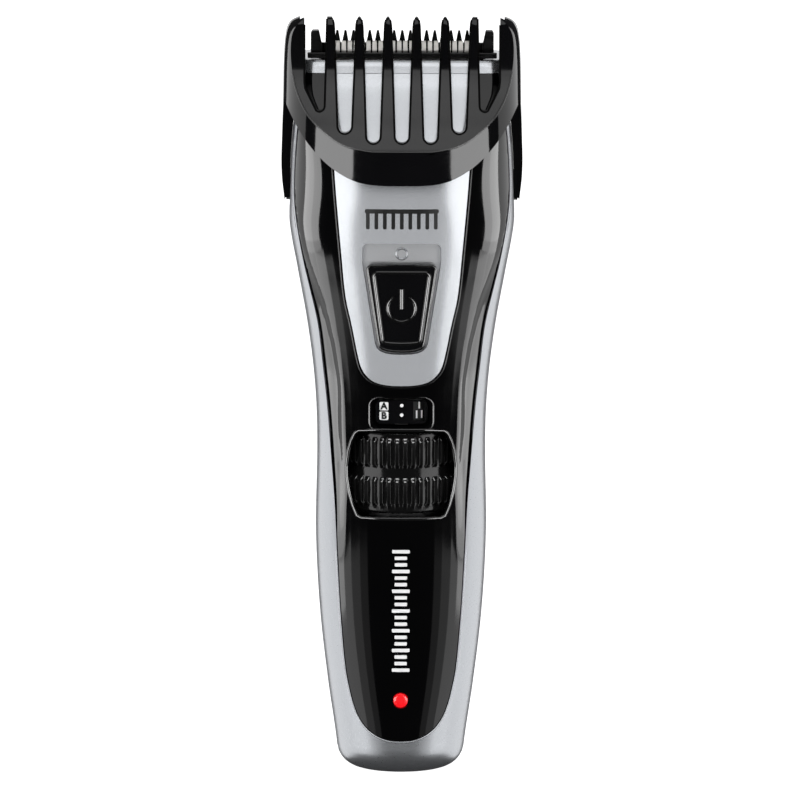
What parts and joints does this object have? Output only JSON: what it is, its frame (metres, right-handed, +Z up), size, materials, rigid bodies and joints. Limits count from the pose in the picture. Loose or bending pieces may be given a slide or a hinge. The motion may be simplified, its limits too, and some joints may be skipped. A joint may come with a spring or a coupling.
{
  "type": "hair clipper",
  "caption": "Cordless hair clipper with a height-adjustable guide comb, a ribbed length wheel, a sliding power button and a toothed blade head.",
  "frame": {"origin": "centre of the flat base that the clipper stands on", "axes": "+Z up along the clipper's length towards the blade, +X across the width, -Y is the front with the controls"},
  "size_m": [0.0544, 0.0406, 0.1726],
  "materials": {
    "gloss_black": "high gloss",
    "silver_paint": "satin metallic paint",
    "panel_silver": "satin metallic paint",
    "tray_silver": "satin metallic paint",
    "button_black": "gloss",
    "wheel_black": "semi-gloss",
    "comb_black": "satin face and gloss band",
    "lens_black": "high gloss",
    "blade_black": "black coating",
    "blade_steel": "ground",
    "clamp_black": "satin",
    "inner_black": "moulded",
    "inner_white": "moulded",
    "steel": "bright",
    "contact_metal": "plated",
    "circuit_green": "coated",
    "battery_blue": "sleeve",
    "led_red": "clear red",
    "led_white": "moulded",
    "lead_red": "insulation",
    "lead_black": "insulation"
  },
  "bodies": {
    "housing": {"front_shell": "gloss_black", "rear_shell": "silver_paint", "case_screw_1": "steel", "case_screw_2": "steel", "case_screw_3": "steel", "case_screw_4": "steel", "inlay_panel": "panel_silver", "switch_tray": "tray_silver", "slide_switch": "steel", "switch_board": "circuit_green", "window_lens": "lens_black", "wheel_seat": "inner_black", "wheel_detent": "steel", "fixed_blade": "blade_black", "blade_clamp": "clamp_black", "head_cover": "panel_silver", "blade_support": "inner_black", "blade_screw_1": "steel", "blade_screw_2": "steel", "blade_spring": "steel", "motor_can": "steel", "motor_cap": "inner_white", "motor_mount": "inner_black", "mount_screw_1": "steel", "mount_screw_2": "steel", "battery_cell": "battery_blue", "battery_contact_top": "contact_metal", "battery_contact_bottom": "contact_metal", "main_board": "circuit_green", "charge_led": "led_white", "led_lens": "led_red", "charging_socket": "inner_black", "socket_pin": "contact_metal", "motor_lead_positive": "lead_red", "motor_lead_negative": "lead_black"},
    "power_slider": {"power_slider": "button_black", "slider_carrier": "inner_black", "switch_toggle": "inner_white"},
    "zoom_wheel": {"zoom_wheel": "wheel_black", "number_ring": "wheel_black"},
    "comb_carriage": {"comb_carriage": "inner_black"},
    "comb": {"comb": "comb_black"},
    "cutter": {"cutter_blade": "blade_steel", "drive_lever": "inner_white"},
    "rotor": {"motor_shaft": "steel", "eccentric": "inner_white"}
  },
  "joints": [
    {"name": "power_slide", "type": "slide", "parent": "housing", "child": "power_slider", "axis": [0, 0, 1], "range_m": [0, 0.0047]},
    {"name": "length_wheel", "type": "hinge", "parent": "housing", "child": "zoom_wheel", "pos_m": [0, -0.0031, 0.07], "axis": [0, 0, 1], "range_deg": [0, 324]},
    {"name": "comb_height", "type": "slide", "parent": "housing", "child": "comb_carriage", "axis": [0, 0, 1], "range_m": [0, 0.009]},
    {"name": "comb_removal", "type": "slide", "parent": "comb_carriage", "child": "comb", "axis": [0, 0, 1], "range_m": [0, 0.03]},
    {"name": "cutter_stroke", "type": "slide", "parent": "housing", "child": "cutter", "axis": [1, 0, 0], "range_m": [-0.0012, 0.0012]},
    {"name": "motor_spin", "type": "hinge", "parent": "housing", "child": "rotor", "pos_m": [0, 0.0005, 0.128], "axis": [0, 0, 1], "continuous": true}
  ],
  "couplings": [
    {"joint": "length_wheel", "follows": "comb_height", "rad_per_m": 628.32}
  ]
}
